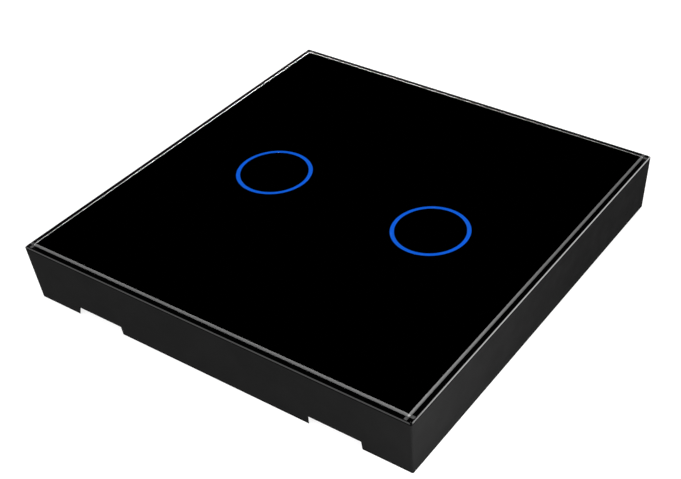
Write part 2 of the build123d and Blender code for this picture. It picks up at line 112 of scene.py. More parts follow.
# Sizes of what lies on the board, in mm. A pad is given by half its width and half its height.
pad_height = 0.03
shade_disc_height = 0.033
track_height = 0.02
thin_width = 0.3
track_step = 0.0001  # keeps the faces of crossing lines apart
silk_height = 0.035
silk_line = 0.16
silk_dot = 0.22  # radius of the dot beside a chip's first pin
silk_plus = (15.2, 0.9, 0.1)  # place along x, reach and half width of the holder's plus sign
small_silk = (0.35, 0.72)  # half length and place of the lines beside a small chip
screw_silk_radius = 3.0
pinned_chips = {"touch_controller": (8, 1.27), "radio_transmitter": (3, 0.95)}  # pins in a row, pitch
small_chips = ("chip_capacitors", "chip_resistors")
small_pad, small_pad_reach = (0.42, 0.5), 0.8
pin_pad, pin_pad_inset = (0.3, 0.55), 0.25
crystal_pad, crystal_pad_reach = (0.65, 0.6), (2.2, 1.2)
tantalum_pad, tantalum_pad_reach = (0.7, 1.2), 1.75
clip_pad, clip_pad_inset = (1.15, 3.9), 0.7
test_pad_radius = 0.75
via_radius = 0.36
via_hole_radius = 0.17
screw_pad_radius = 2.6
aerial_pad_radius = 0.8
spring_pad_radius = 0.9
lamp_circle = 7.2  # radius of the lines that join a key's lamps
lamp_gap = 7  # degrees that these lines leave free on each side of a lamp

# Solder: half width, reach and rise of a fillet, or radii and heights round an upright wire
small_fillet, small_fillet_rise = (0.36, 0.3), 0.6  # the rise being a share of the chip's height
pin_fillet = (0.2, 0.25, 0.18)
end_fillets = {"tantalum_capacitor": (1.0, 0.5, 0.7), "battery_positive_clip": (3.3, 0.35, 0.28)}
aerial_cone = ((0.78, 0), (0.6, 0.1), (0.42, 0.35), (0.31, 0.7))
spring_cone = ((0.85, 0), (0.62, 0.1), (0.4, 0.25), (0.27, 0.45))


def node(tree, kind, inputs=None, **settings):
    """Adds a node. A key of inputs is a socket's name or number, its value a number or an output."""
    made = tree.nodes.new("ShaderNode" + kind)
    for key, value in settings.items():
        setattr(made, key, value)
    for key, value in (inputs or {}).items():
        if isinstance(value, bpy.types.NodeSocket):
            tree.links.new(value, made.inputs[key])
        else:
            made.inputs[key].default_value = value
    return made


def calc(tree, operation, *values):
    return node(tree, "Math", dict(enumerate(values)), operation=operation).outputs[0]


def most(tree, *values):
    """The largest of several values."""
    return reduce(lambda first, second: calc(tree, "MAXIMUM", first, second), values)


def times(tree, *values):
    """The product of several values."""
    return reduce(lambda first, second: calc(tree, "MULTIPLY", first, second), values)


def distance(tree, along, across):
    """Length of a way that goes so far along one axis and so far across it."""
    squares = calc(tree, "ADD", calc(tree, "POWER", along, 2), calc(tree, "POWER", across, 2))
    return calc(tree, "SQRT", squares)


def ramp(tree, value, low, high, start=0.0, end=1.0):
    """A smooth change from start to end while value goes from low to high."""
    inputs = {"Value": value, "From Min": low, "From Max": high, "To Min": start, "To Max": end}
    return node(tree, "MapRange", inputs, interpolation_type="SMOOTHSTEP").outputs[0]


def between(tree, value, low, high, soft):
    """1 where value lies between low and high, with edges of the given softness."""
    rise = ramp(tree, value, low - soft, low + soft)
    fall = ramp(tree, value, high - soft, high + soft)
    return calc(tree, "SUBTRACT", rise, fall)


def near(tree, value, middle, reach):
    """1 where value is within reach of middle."""
    return calc(tree, "COMPARE", value, middle, reach)


def away(tree, value, middle, reach):
    """1 where value is further than reach from middle."""
    return calc(tree, "SUBTRACT", 1.0, near(tree, value, middle, reach))


def spread(tree, value, low=0.0, high=1.0):
    """Stretches a noise, which stays near a half, over the values from low to high."""
    inputs = {"Value": value, "From Min": 0.3, "From Max": 0.7, "To Min": low, "To Max": high}
    return node(tree, "MapRange", inputs).outputs[0]


def place(tree):
    """Object coordinates, which are the part's own frame in metres."""
    return node(tree, "TexCoord").outputs["Object"]


def parts_of(tree, vector):
    return list(node(tree, "SeparateXYZ", {0: vector}).outputs)


def axes(tree):
    return parts_of(tree, place(tree))


def noise(tree, size, detail=2.0, roughness=0.5, stretch=(1, 1, 1)):
    """Noise whose features measure about size, in mm."""
    where = node(tree, "VectorMath", {0: place(tree), 1: stretch}, operation="MULTIPLY").outputs[0]
    inputs = {"Vector": where, "Scale": 1 / (size * MM), "Detail": detail, "Roughness": roughness}
    return node(tree, "TexNoise", inputs).outputs["Fac"]


def cells(tree, size):
    """Distance from the nearest middle of many cells of about one size, in mm."""
    inputs = {"Vector": place(tree), "Scale": 1 / (size * MM)}
    return node(tree, "TexVoronoi", inputs).outputs["Distance"]


def grey(level):
    return (level, level, level)


def scaled(tone, share):
    return [share * part for part in tone]


def mix(tree, factor, first, second):
    """Colour between first and second by factor."""
    made = node(tree, "Mix", {"Factor": factor}, data_type="RGBA")
    for socket, value in ((6, first), (7, second)):
        if isinstance(value, bpy.types.NodeSocket):
            tree.links.new(value, made.inputs[socket])
        else:
            made.inputs[socket].default_value = (*value, 1.0)
    return made.outputs[2]


def bump(tree, height, depth, normal=None):
    """A bump whose full height is depth, in mm."""
    inputs = {"Height": height, "Distance": depth * MM, "Strength": 1.0}
    if normal is not None:
        inputs["Normal"] = normal
    return node(tree, "Bump", inputs).outputs[0]


looks = {}


def material(name, colour, roughness, **values):
    """A material with one shader. Returns the material, its node tree and the shader."""
    made = bpy.data.materials.new(name)
    made.use_nodes = True
    shader = made.node_tree.nodes["Principled BSDF"]
    shader.inputs["Base Color"].default_value = (*colour, 1.0)
    shader.inputs["Roughness"].default_value = roughness
    for key, value in values.items():
        shader.inputs[key.replace("_", " ")].default_value = value
    return made, made.node_tree, shader


def look(colour, roughness, **values):
    """Makes the material that a function is named after, with the nodes that the function adds."""
    def add(lay_out):
        made, tree, shader = material(lay_out.__name__, colour, roughness, **values)
        lay_out(tree, shader)
        looks[lay_out.__name__] = made
        return lay_out
    return add


def drive(shader, **sockets):
    for key, value in sockets.items():
        shader.id_data.links.new(value, shader.inputs[key.replace("_", " ")])


def dent(tree, shader, mask, depth):
    """Presses the masked part in by depth, under the grain that the material has already."""
    grain = shader.inputs["Normal"].links[0].from_socket
    drive(shader, Normal=bump(tree, mask, -depth, grain))


@look(grey(0.006), 0.6, Specular_IOR_Level=0.004, Coat_Roughness=0.16, Coat_IOR=3.0)
def black_housing(tree, shader):
    """Black moulding: satin sides with a fine grain and a polished rim. Painted shade darkens a band
    under the chamfer and one along the foot, and a painted highlight makes the corner scores pale.
    """
    x, y, z = axes(tree)
    reach = most(tree, calc(tree, "ABSOLUTE", x), calc(tree, "ABSOLUTE", y))
    on_rim = ramp(tree, z, chamfer_foot - soft_edge, chamfer_foot + 0.03 * MM)
    on_land = ramp(tree, reach, rim_land + soft_edge, rim_land - soft_edge)
    score_and_glint = times(tree, between(tree, z, *score_floor, soft_edge), on_land)
    # Painted shade: a dark band under the chamfer and another along the foot, where shade falls.
    under_chamfer_shade = between(tree, z, chamfer_foot - shade_band_height, chamfer_foot, 0.05 * MM)
    shade = most(tree, under_chamfer_shade, ramp(tree, z, *foot_shade, 1.0, 0.0))
    coat = between(tree, z, chamfer_foot + soft_edge, chamfer_foot + bright_line, soft_edge)
    colour = mix(tree, spread(tree, noise(tree, 9, 3)), grey(0.012), grey(0.0138))
    # The scores are real, but their pale colour is a painted highlight.
    for mask, level in ((shade, 0.002), (on_rim, 0.0004), (score_and_glint, 0.08)):
        colour = mix(tree, mask, colour, grey(level))
    rough = spread(tree, noise(tree, 3, 4), 0.55, 0.68)
    grain = times(tree, noise(tree, 0.12, 1), calc(tree, "SUBTRACT", 1.0, on_rim))
    drive(shader, Base_Color=colour, Roughness=rough, Coat_Weight=coat, Normal=bump(tree, grain, 0.004))


@look(grey(1.0), 0.0, IOR=1.5)
def clear_glass(tree, shader):
    """Polished clear glass, ground grey along its arris, with a painted highlight that makes the arris
    lighter towards its inner edge and paler where two edges cross.
    """
    x, y, z = axes(tree)
    along, inner_highlights = [], []
    for value in (x, y):
        reach = calc(tree, "ABSOLUTE", value)
        along.append(ramp(tree, reach, ground_start - soft_edge, ground_start + soft_edge))
        inner_highlights.append(ramp(tree, reach, ground_start, glass_high.x, 1.2, 0.8))
    high = ramp(tree, z, glass_high.z - arris_drop - 0.02 * MM, glass_high.z - arris_drop)
    ground = times(tree, most(tree, *along), high)
    # Painted highlight: the ground arris is paler where two edges cross and lighter towards its inner
    # edge.
    level = ramp(tree, times(tree, *along), 0, 1, 0.138, 0.34)
    cloud = spread(tree, noise(tree, 0.25, 3, 0.6), 0.9, 1.1)
    tone = times(tree, cloud, calc(tree, "MINIMUM", *inner_highlights), level)
    grain = times(tree, noise(tree, 0.05, 2), ground)
    drive(shader, Base_Color=mix(tree, ground, grey(1.0), tone), Normal=bump(tree, grain, 0.004))
    drive(shader, Roughness=ramp(tree, ground, 0, 1, 0.0, 0.55))
    drive(shader, Transmission_Weight=ramp(tree, ground, 0, 1, 1.0, 0.0))


@look(grey(0.001), 0.6, Specular_IOR_Level=0.1)
def black_ink(tree, shader):
    """Screen-printed black: matt, with a faint mesh texture."""
    drive(shader, Roughness=spread(tree, noise(tree, 0.08, 1), 0.5, 0.7))


@look(
    (0.002, 0.01, 0.05), 0.4,
    Specular_IOR_Level=0.1, Emission_Color=(0.006, 0.115, 0.72, 1.0), Emission_Strength=1.05,
)
def blue_light_guide(tree, shader):
    """Milky plastic, lit blue from behind."""
    drive(shader, Roughness=spread(tree, noise(tree, 1.5, 2), 0.35, 0.5))


def middle_of(name):
    low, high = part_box(name)
    return (low + high) / 2


def separate_boxes(name):
    """Lowest and highest corner of each separate solid of a CAD node."""
    grid = bmesh.new()
    grid.from_mesh(frame["nodes"][name].data)
    bmesh.ops.remove_doubles(grid, verts=grid.verts, dist=0.001 * MM)
    left = set(grid.verts)
    boxes = []
    while left:
        open_ends = [left.pop()]
        points = []
        while open_ends:
            vert = open_ends.pop()
            points.append(vert.co.copy())
            for edge in vert.link_edges:
                other = edge.other_vert(vert)
                if other in left:
                    left.remove(other)
                    open_ends.append(other)
        low = Vector([min(point[axis] for point in points) for axis in range(3)])
        high = Vector([max(point[axis] for point in points) for axis in range(3)])
        boxes.append((low, high))
    grid.free()
    return sorted(boxes, key=lambda box: tuple(box[0]))


def moulded(name, tone, rough, grain_size, grain_depth, **values):
    """Moulded plastic: cloudy roughness over a fine spark-eroded grain."""
    made, tree, shader = material(name, tone, rough, **values)
    cloud = spread(tree, noise(tree, 8, 2), 0.95, 1.05)
    fine = noise(tree, grain_size, 2, 0.6)
    speckle = spread(tree, fine, rough * 0.85, rough * 1.1)
    drive(shader, Base_Color=mix(tree, cloud, scaled(tone, 0.9), scaled(tone, 1.1)))
    drive(shader, Roughness=times(tree, speckle, cloud), Normal=bump(tree, fine, grain_depth))
    return made


def metal(name, tone, rough, stretch=(1, 1, 1)):
    """Rolled or drawn metal: fine lines along one direction and a few cloudy stains."""
    made, tree, shader = material(name, tone, rough, Metallic=1.0)
    lines = noise(tree, 0.04, 3, 0.6, stretch)
    stain = spread(tree, noise(tree, 2.5, 3))
    drive(shader, Base_Color=mix(tree, stain, scaled(tone, 0.93), scaled(tone, 1.03)))
    drive(shader, Roughness=spread(tree, lines, rough * 0.7, rough * 1.4))
    drive(shader, Normal=bump(tree, lines, 0.0015))
    return made


def part_metal(tree, shader, mask, colour, rough, tin=(0.62, 0.62, 0.6)):
    """Turns the masked part of a plastic or ceramic piece into tinned metal."""
    fine = noise(tree, 0.05, 3)
    dull = spread(tree, fine, rough * 0.85, rough * 1.15)
    dull = times(tree, dull, calc(tree, "SUBTRACT", 1.0, mask))
    bright = times(tree, spread(tree, fine, 0.22, 0.38), mask)
    drive(shader, Base_Color=mix(tree, mask, colour, tin), Metallic=mask)
    drive(shader, Roughness=calc(tree, "ADD", dull, bright), Normal=bump(tree, fine, 0.003))


def black_plate(name):
    """Black plate: fine grain, and faint round marks where ejector pins pushed it out."""
    made = moulded(name, grey(0.012), 0.66, 0.14, 0.006, Specular_IOR_Level=0.12)
    tree = made.node_tree
    x, y, z = axes(tree)
    across = calc(tree, "SUBTRACT", calc(tree, "ABSOLUTE", x), pin_mark_x)
    marks = []
    for row in pin_mark_rows:
        reach = distance(tree, calc(tree, "SUBTRACT", y, row), across)
        marks.append(between(tree, reach, pin_mark_radius - 0.15 * MM, pin_mark_radius, 0.05 * MM))
    dent(tree, tree.nodes["Principled BSDF"], most(tree, *marks), 0.03)
    return made


@look((0.7, 0.7, 0.68), 0.7)
def foam_tape(tree, shader):
    """White closed-cell foam under a waxy paper liner."""
    liner = ramp(tree, axes(tree)[2], 0.06 * MM, 0.1 * MM, 1.0, 0.0)
    bubbles = cells(tree, 0.22)
    fibre = noise(tree, 0.3, 4, 0.6, (1, 0.25, 1))
    paper = mix(tree, fibre, (0.66, 0.62, 0.5), (0.74, 0.7, 0.58))
    foam = mix(tree, bubbles, (0.5, 0.5, 0.49), (0.75, 0.75, 0.73))
    rise = times(tree, bubbles, ramp(tree, liner, 0, 1, 1.0, 0.05))
    drive(shader, Base_Color=mix(tree, liner, foam, paper))
    drive(shader, Roughness=ramp(tree, liner, 0, 1, 0.85, 0.4), Normal=bump(tree, rise, 0.08))


@look((0.2, 0.2, 0.19), 0.3)
def clear_tape(tree, shader):
    """Thin double-sided tape with small trapped bubbles."""
    bubble = ramp(tree, cells(tree, 1.1), 0.08, 0.16, 1.0, 0.0)
    drive(shader, Base_Color=mix(tree, bubble, (0.16, 0.16, 0.15), (0.34, 0.34, 0.33)))
    drive(shader, Roughness=ramp(tree, bubble, 0, 1, 0.28, 0.5), Normal=bump(tree, bubble, 0.02))


@look((0.01, 0.1, 0.03), 0.3)
def board_laminate(tree, shader):
    """Green varnish over woven glass, with bare tan laminate on the cut edges."""
    wave = 0.314  # length of one wave of TexWave at a scale of 1
    weave = []
    for axis in ("X", "Y"):
        inputs = {"Vector": place(tree), "Scale": wave / (0.45 * MM), "Distortion": 0.6}
        weave.append(node(tree, "TexWave", inputs, bands_direction=axis).outputs["Fac"])
    cloth = times(tree, *weave)
    normal = parts_of(tree, node(tree, "TexCoord").outputs["Normal"])
    face = calc(tree, "GREATER_THAN", calc(tree, "ABSOLUTE", normal[2]), 0.5)
    green = mix(tree, cloth, (0.008, 0.085, 0.026), (0.012, 0.11, 0.034))
    tan = mix(tree, noise(tree, 0.15, 3, 0.5, (1, 1, 4)), (0.3, 0.24, 0.1), (0.48, 0.42, 0.22))
    varnish = spread(tree, noise(tree, 0.8, 3), 0.2, 0.3)
    rough = calc(tree, "ADD", varnish, ramp(tree, face, 0, 1, 0.4, 0.0))
    drive(shader, Base_Color=mix(tree, face, tan, green))
    drive(shader, Roughness=rough, Normal=bump(tree, cloth, 0.004))


@look((0.8, 0.8, 0.78), 0.4, Emission_Color=(0.02, 0.2, 1.0, 1.0))
def lamp_body(tree, shader):
    """White lamp base under a clear block that is lit blue."""
    lens = calc(tree, "GREATER_THAN", axes(tree)[2], board_high.z + lamp_base_height)
    drive(shader, Base_Color=mix(tree, lens, (0.75, 0.75, 0.72), (0.1, 0.25, 0.6)))
    drive(shader, Roughness=spread(tree, noise(tree, 0.2, 3), 0.2, 0.45))
    drive(shader, Emission_Strength=times(tree, lens, 1.5))


@look((0.014, 0.014, 0.015), 0.5)
def chip_moulding(tree, shader):
    """Black epoxy with tinned pins and a round dimple at the first pin."""
    x, y, z = axes(tree)
    pins, dimples = [], []
    for name in pinned_chips:
        low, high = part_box(name)
        centre = (low + high) / 2
        half = (high.y - low.y) / 2 - pin_reach
        here = near(tree, x, centre.x, high.x - low.x)
        pins.append(times(tree, here, away(tree, y, centre.y, half + 0.02 * MM)))
        corner = Vector((low.x + 0.8 * MM, centre.y - half + 0.55 * MM, low.z))
        spot = node(tree, "VectorMath", {0: place(tree), 1: corner}, operation="DISTANCE")
        dimples.append(ramp(tree, spot.outputs["Value"], 0.22 * MM, 0.26 * MM, 1.0, 0.0))
    shade = spread(tree, noise(tree, 0.06, 2))
    epoxy = mix(tree, shade, (0.011, 0.011, 0.012), (0.018, 0.018, 0.019))
    part_metal(tree, shader, most(tree, *pins), epoxy, 0.5)
    dent(tree, shader, most(tree, *dimples), 0.06)


@look((0.5, 0.48, 0.42), 0.35)
def nickel_lid(tree, shader):
    """Ceramic base with a brushed metal lid."""
    lid = calc(tree, "LESS_THAN", axes(tree)[2], middle_of("crystal").z - 0.01 * MM)
    ceramic = mix(tree, noise(tree, 0.2, 2), (0.16, 0.13, 0.1), (0.2, 0.165, 0.13))
    part_metal(tree, shader, lid, ceramic, 0.55, (0.66, 0.62, 0.5))


@look((0.62, 0.36, 0.05), 0.4)
def capacitor_moulding(tree, shader):
    """Yellow moulding with a brown band at its marked end and tinned tabs."""
    low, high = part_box("tantalum_capacitor")
    middle_x, half = (low.x + high.x) / 2, (high.x - low.x) / 2
    x, y, z = axes(tree)
    ends = away(tree, x, middle_x, half - 0.09 * MM)
    tabs = most(tree, ends, calc(tree, "GREATER_THAN", z, high.z - 0.2 * MM))
    band = near(tree, x, middle_x + half - 0.75 * MM, 0.3 * MM)
    yellow = mix(tree, noise(tree, 0.4, 3), (0.55, 0.3, 0.035), (0.68, 0.4, 0.06))
    part_metal(tree, shader, tabs, mix(tree, band, yellow, (0.12, 0.05, 0.015)), 0.42)


def end_caps(tree, name):
    """1 on the tinned ends of a node's small chips."""
    x, y, z = axes(tree)
    caps = []
    for low, high in separate_boxes(name):
        centre = (low + high) / 2
        here = times(tree, near(tree, x, centre.x, chip_space), near(tree, y, centre.y, chip_space))
        ends = away(tree, x, centre.x, (high.x - low.x) / 2 - chip_end)
        caps.append(times(tree, here, ends))
    return most(tree, *caps)


@look((0.35, 0.24, 0.14), 0.5)
def ceramic_chip(tree, shader):
    """Tan ceramic between tinned ends."""
    tan = mix(tree, noise(tree, 0.12, 3), (0.3, 0.2, 0.11), (0.4, 0.28, 0.17))
    part_metal(tree, shader, end_caps(tree, "chip_capacitors"), tan, 0.5)


@look(grey(0.02), 0.4)
def resistor_chip(tree, shader):
    """White ceramic with a black coat on its face, between tinned ends."""
    coat = calc(tree, "LESS_THAN", axes(tree)[2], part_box("chip_resistors")[0].z + 0.12 * MM)
    body = mix(tree, coat, (0.75, 0.74, 0.7), (0.015, 0.015, 0.018))
    part_metal(tree, shader, end_caps(tree, "chip_resistors"), body, 0.35)


@look((0.75, 0.3, 0.14), 0.22, Metallic=1.0, Coat_Weight=0.6)
def copper_wire(tree, shader):
    """Copper under clear enamel, cloudy between a darker and a lighter tone."""
    shade = spread(tree, noise(tree, 0.9, 3))
    drive(shader, Base_Color=mix(tree, shade, (0.62, 0.22, 0.09), (0.8, 0.34, 0.16)))
    drive(shader, Roughness=spread(tree, noise(tree, 0.15, 2), 0.16, 0.3))


def turned_steel(name, tone, rough, depth):
    """Cell steel: fine rings round its axis and a struck plus sign on the can's face."""
    made, tree, shader = material(name, tone, rough, Metallic=1.0)
    centre = middle_of("coin_cell_can")
    x, y, z = axes(tree)
    x, y = calc(tree, "SUBTRACT", x, centre.x), calc(tree, "SUBTRACT", y, centre.y)
    inputs = {"W": distance(tree, x, y), "Scale": 1 / (0.06 * MM), "Detail": 3.0}
    rings = node(tree, "TexNoise", inputs, noise_dimensions="1D").outputs["Fac"]
    arms = []
    for half_x, half_y in ((plus_arm, plus_line), (plus_line, plus_arm)):
        arms.append(times(tree, near(tree, x, 0, half_x), near(tree, y, -plus_drop, half_y)))
    low_face = calc(tree, "LESS_THAN", z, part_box("coin_cell_can")[0].z + 0.05 * MM)
    plus = times(tree, most(tree, *arms), low_face)
    smear = spread(tree, noise(tree, 3, 3))
    clean = mix(tree, smear, scaled(tone, 0.88), scaled(tone, 1.05))
    even = spread(tree, rings, rough * 0.7, rough * 1.4)
    drive(shader, Base_Color=mix(tree, plus, clean, scaled(tone, 0.45)), Normal=bump(tree, rings, depth))
    drive(shader, Roughness=calc(tree, "ADD", even, times(tree, plus, 0.3)))
    dent(tree, shader, plus, 0.05)
    return made


@look((0.02, 0.19, 0.055), 0.28)
def varnished_track(tree, shader):
    """Green varnish over copper, lighter than over bare laminate."""
    cloud = spread(tree, noise(tree, 0.6, 3))
    drive(shader, Base_Color=mix(tree, cloud, (0.018, 0.165, 0.05), (0.026, 0.215, 0.065)))
    drive(shader, Roughness=spread(tree, noise(tree, 0.8, 3), 0.2, 0.32))


@look((0.75, 0.76, 0.74), 0.5)
def white_print(tree, shader):
    """White printing ink, slightly thin in places."""
    thin = spread(tree, noise(tree, 0.1, 3, 0.6))
    drive(shader, Base_Color=mix(tree, thin, (0.5, 0.56, 0.5), (0.82, 0.82, 0.8)))
    drive(shader, Roughness=ramp(tree, thin, 0, 1, 0.45, 0.6))


@look((0.01, 0.012, 0.01), 0.6)
def painted_hole_shade(tree, shader):
    """Painted shade: dark colour on a disc that stands for the inside of a plated hole."""
    shade = noise(tree, 0.1, 2)
    drive(shader, Base_Color=mix(tree, shade, (0.006, 0.008, 0.006), (0.016, 0.02, 0.016)))
    drive(shader, Roughness=spread(tree, shade, 0.5, 0.7))


def finish_nodes():
    """Gives each CAD node its material, by the record's slot of the node."""
    rows = (
        (black_plate, "black_plate"),
        (moulded, "holder_moulding", (0.014, 0.014, 0.015), 0.45, 0.1, 0.004),
        (moulded, "gasket_plastic", grey(0.3), 0.4, 0.1, 0.002),
        (metal, "spring_steel", (0.6, 0.6, 0.58), 0.25),
        (metal, "plated_screw", (0.62, 0.61, 0.58), 0.3, (1, 1, 0.2)),
        (metal, "nickel_contact", (0.66, 0.64, 0.59), 0.25, (0.1, 1, 1)),
        (metal, "tinned_copper", (0.68, 0.67, 0.64), 0.3),
        (metal, "solder", grey(0.62), 0.34),
        (turned_steel, "cell_steel", (0.6, 0.6, 0.59), 0.28, 0.002),
        (turned_steel, "cell_cap_steel", (0.63, 0.62, 0.6), 0.35, 0.003),
    )
    looks.update({name: make(name, *values) for make, name, *values in rows})
    for piece in frame["record"]["subparts"]:
        materials = frame["nodes"][piece["node"]].data.materials
        materials.clear()
        materials.append(looks[piece["material_slot"]])


def add_object(name, data):
    made = bpy.data.objects.new(name, data)
    bpy.context.scene.collection.objects.link(made)
    return made


def add_piece(name, data, look, slot, *replaced):
    """Adds a piece with one of the looks. It rides on the panel and may stand for CAD nodes."""
    data.materials.append(looks[look])
    made = add_object(name, data)
    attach(made, "panel")
    if replaced:
        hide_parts(*replaced)


def mesh_piece(name, grid, look, slot, *replaced, crease=None):
    """Adds a bmesh as a piece, with sharp edges where it bends by more than crease degrees."""
    bmesh.ops.recalc_face_normals(grid, faces=grid.faces)
    data = bpy.data.meshes.new(name)
    grid.to_mesh(data)
    grid.free()
    add_piece(name, data, look, slot, *replaced)
    if crease:
        data.set_sharp_from_angle(angle=math.radians(crease))


def wire_piece(name, points, thickness, look, *replaced):
    """Adds a round wire through points as a piece with one of the looks."""
    data = bpy.data.curves.new(name, "CURVE")
    data.dimensions = "3D"
    data.bevel_depth = thickness / 2
    data.bevel_resolution = 3
    data.use_fill_caps = True
    spline = data.splines.new("NURBS")
    spline.points.add(len(points) - 1)
    for spot, point in zip(spline.points, points):
        spot.co = (*point, 1.0)
    spline.order_u = 4
    spline.use_endpoint_u = True
    spline.resolution_u = 4
    add_piece(name, data, look, look, *replaced)


def around(x, y, radius, angle):
    """The point at a radius and an angle from a middle."""
    return x + radius * math.cos(angle), y + radius * math.sin(angle)


def key_x(side):
    """Place along x of a key's ring, lamps and spring."""
    return middle_of(f"ring_guide_{side}").x


def touch_springs():
    """Round spring wire: a leg on the board, one climbing turn and one flat turn."""
    foot = board_high.z
    low = foot + 2 * spring_wire
    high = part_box("ink_mask")[0].z - 0.55 * spring_wire
    for side in sides:
        start = Vector((key_x(side) + spring_radius, -spring_wire, foot + 0.05 * MM))
        points = [start + Vector((0, 0, rise * spring_wire)) for rise in (0, 0.5, 1.2)]
        for step in range(1, 2 * spring_steps + 1):
            turn = step / spring_steps
            reach = spring_radius + spring_widening * turn
            height = low + (high - low) * min(turn, 1.0)
            points.append(Vector((*around(key_x(side), 0, reach, 2 * math.pi * turn), height)))
        wire_piece(f"spring_wire_{side}", points, spring_wire, "spring_steel", f"touch_spring_{side}")


def aerial():
    """Round copper wire in even turns, with a straight leg to the board at each end."""
    low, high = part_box("aerial_coil")
    radius = (high.y - low.y - aerial_wire) / 2
    middle_y, middle_z = (low.y + high.y) / 2, low.z + aerial_wire / 2 + radius
    length = high.x - low.x - aerial_wire
    total = round(aerial_turns * aerial_steps)
    points = []
    for step in range(total + 1):
        x = low.x + aerial_wire / 2 + length * step / total
        angle = -2 * math.pi * step / aerial_steps
        points.append(Vector((x, *around(middle_y, middle_z, radius, angle))))
    heights = (board_low.z, board_low.z - aerial_leg)
    legs = [[Vector((end.x, end.y, height)) for height in heights] for end in (points[0], points[-1])]
    points = legs[0] + points + legs[1][::-1]
    wire_piece("aerial_wire", points, aerial_wire, "copper_wire", "aerial_coil")


def box_mm(name):
    """Lowest and highest corner of a node, in mm."""
    return [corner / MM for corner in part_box(name)]


def boxes_mm(*names):
    """The same for each separate solid of some nodes."""
    return [(low / MM, high / MM) for name in names for low, high in separate_boxes(name)]


def middle(low, high):
    """Where the middle of a box lies on the board."""
    return (low.x + high.x) / 2, (low.y + high.y) / 2


def on_back(height):
    """Place along z of what stands out of the board's back by height, in mm."""
    return board_low.z / MM - height


def on_front(height):
    return board_high.z / MM + height


def round_outline(x, y, radius, count):
    return [around(x, y, radius, 2 * math.pi * step / count) for step in range(count)]


def box_outline(x, y, half_x, half_y):
    return [(x + a * half_x, y + b * half_y) for a, b in ((-1, -1), (1, -1), (1, 1), (-1, 1))]


def cross_outline(x, y, arm, half, turn=0.0):
    """Cross with arms of one reach and half width, turned by so many radians."""
    points = []
    for quarter in range(4):
        angle = turn + quarter * math.pi / 2
        cos, sin = math.cos(angle), math.sin(angle)
        for a, b in ((arm, half), (half, half), (half, arm)):
            points.append((x + a * cos - b * sin, y + a * sin + b * cos))
    return points


def ring_of(grid, outline, height):
    """The points of an outline at one height, from mm."""
    return [grid.verts.new((x * MM, y * MM, height * MM)) for x, y in outline]


def join_rings(grid, first, second):
    """Quads between two rings of the same count."""
    count = len(first)
    for step in range(count):
        after = (step + 1) % count
        grid.faces.new((first[step], first[after], second[after], second[step]))


def stack(grid, layers):
    """Wall through layers, each of them an outline and its height. Returns the rings of points."""
    rings = [ring_of(grid, outline, height) for outline, height in layers]
    for first, second in zip(rings, rings[1:]):
        join_rings(grid, first, second)
    return rings


def closed(grid, layers):
    """A stack with a face on both of its ends."""
    rings = stack(grid, layers)
    grid.faces.new(rings[0])
    grid.faces.new(rings[-1])


def fill_between(grid, outer, inner):
    """Flat faces between an outer ring and an inner one of any shape."""
    edges = []
    for ring in (outer, inner):
        for step in range(len(ring)):
            pair = (ring[step], ring[(step + 1) % len(ring)])
            edges.append(grid.edges.get(pair) or grid.edges.new(pair))
    bmesh.ops.triangle_fill(grid, use_beauty=True, use_dissolve=False, edges=edges)


def flat(grid, outline, face, height):
    """Flat piece on a face of the board."""
    closed(grid, [(outline, face(0)), (outline, face(height))])


def strip(grid, points, width, face, height):
    """Flat conductor of one width along a line of points, mitred at its bends."""
    line = [Vector(point) for point in points]
    ways = [(end - start).normalized() for start, end in zip(line, line[1:])]
    pairs = []
    for step, point in enumerate(line):
        before = ways[max(step - 1, 0)]
        after = ways[min(step, len(ways) - 1)]
        across = Vector((-before.y - after.y, before.x + after.x)).normalized()
        reach = width / 2 / max(across.dot(Vector((-after.y, after.x))), 0.5)
        pairs.append((point + across * reach, point - across * reach))
    for start, end in zip(pairs, pairs[1:]):
        flat(grid, (start[0], end[0], end[1], start[1]), face, height)


def thread(x, y, top):
    """Layers of a screw's threaded shank, from the board's back up to top."""
    steps = round((top - on_back(0)) / thread_pitch * thread_rows)
    layers = []
    for row in range(steps + 1):
        rise = (top - on_back(0)) * row / steps
        outline = []
        for step in range(thread_sides):
            phase = (rise / thread_pitch - step / thread_sides) % 1.0
            crest = max(0.0, 1.0 - abs(phase - 0.5) * crest_slope)
            radius = thread_root + (thread_crest - thread_root) * crest
            radius *= 1.0 if row < steps - 2 else thread_tip
            outline.append(around(x, y, radius, 2 * math.pi * step / thread_sides))
        layers.append((outline, on_back(0) + rise))
    return layers


def screws():
    """Four pan-head screws with a cross recess and a cut thread, each turned its own way."""
    grid = bmesh.new()
    face, shoulder = on_back(screw_head_height), on_back(screw_head_side)
    for (low, high), turn in zip(boxes_mm("board_screws"), screw_turns):
        x, y = middle(low, high)
        profile = [(screw_head_radius, on_back(0))]
        for step in range(dome_steps + 1):
            angle = step / dome_steps * math.pi / 2
            radius = screw_head_radius - screw_dome * (1 - math.cos(angle))
            profile.append((radius, shoulder + (face - shoulder) * math.sin(angle)))
        head = stack(grid, [(round_outline(x, y, radius, 28), height) for radius, height in profile])
        recess = stack(grid, [
            (cross_outline(x, y, *recess_mouth, turn), face),
            (cross_outline(x, y, *recess_floor, turn), face + recess_depth),
        ])
        fill_between(grid, head[-1], recess[0])
        grid.faces.new(recess[-1])
        shank = stack(grid, thread(x, y, high.z))
        grid.faces.new(shank[-1])
        fill_between(grid, head[0], shank[0])
    mesh_piece("cross_head_screws", grid, "plated_screw", "plated_screw", "board_screws", crease=35)


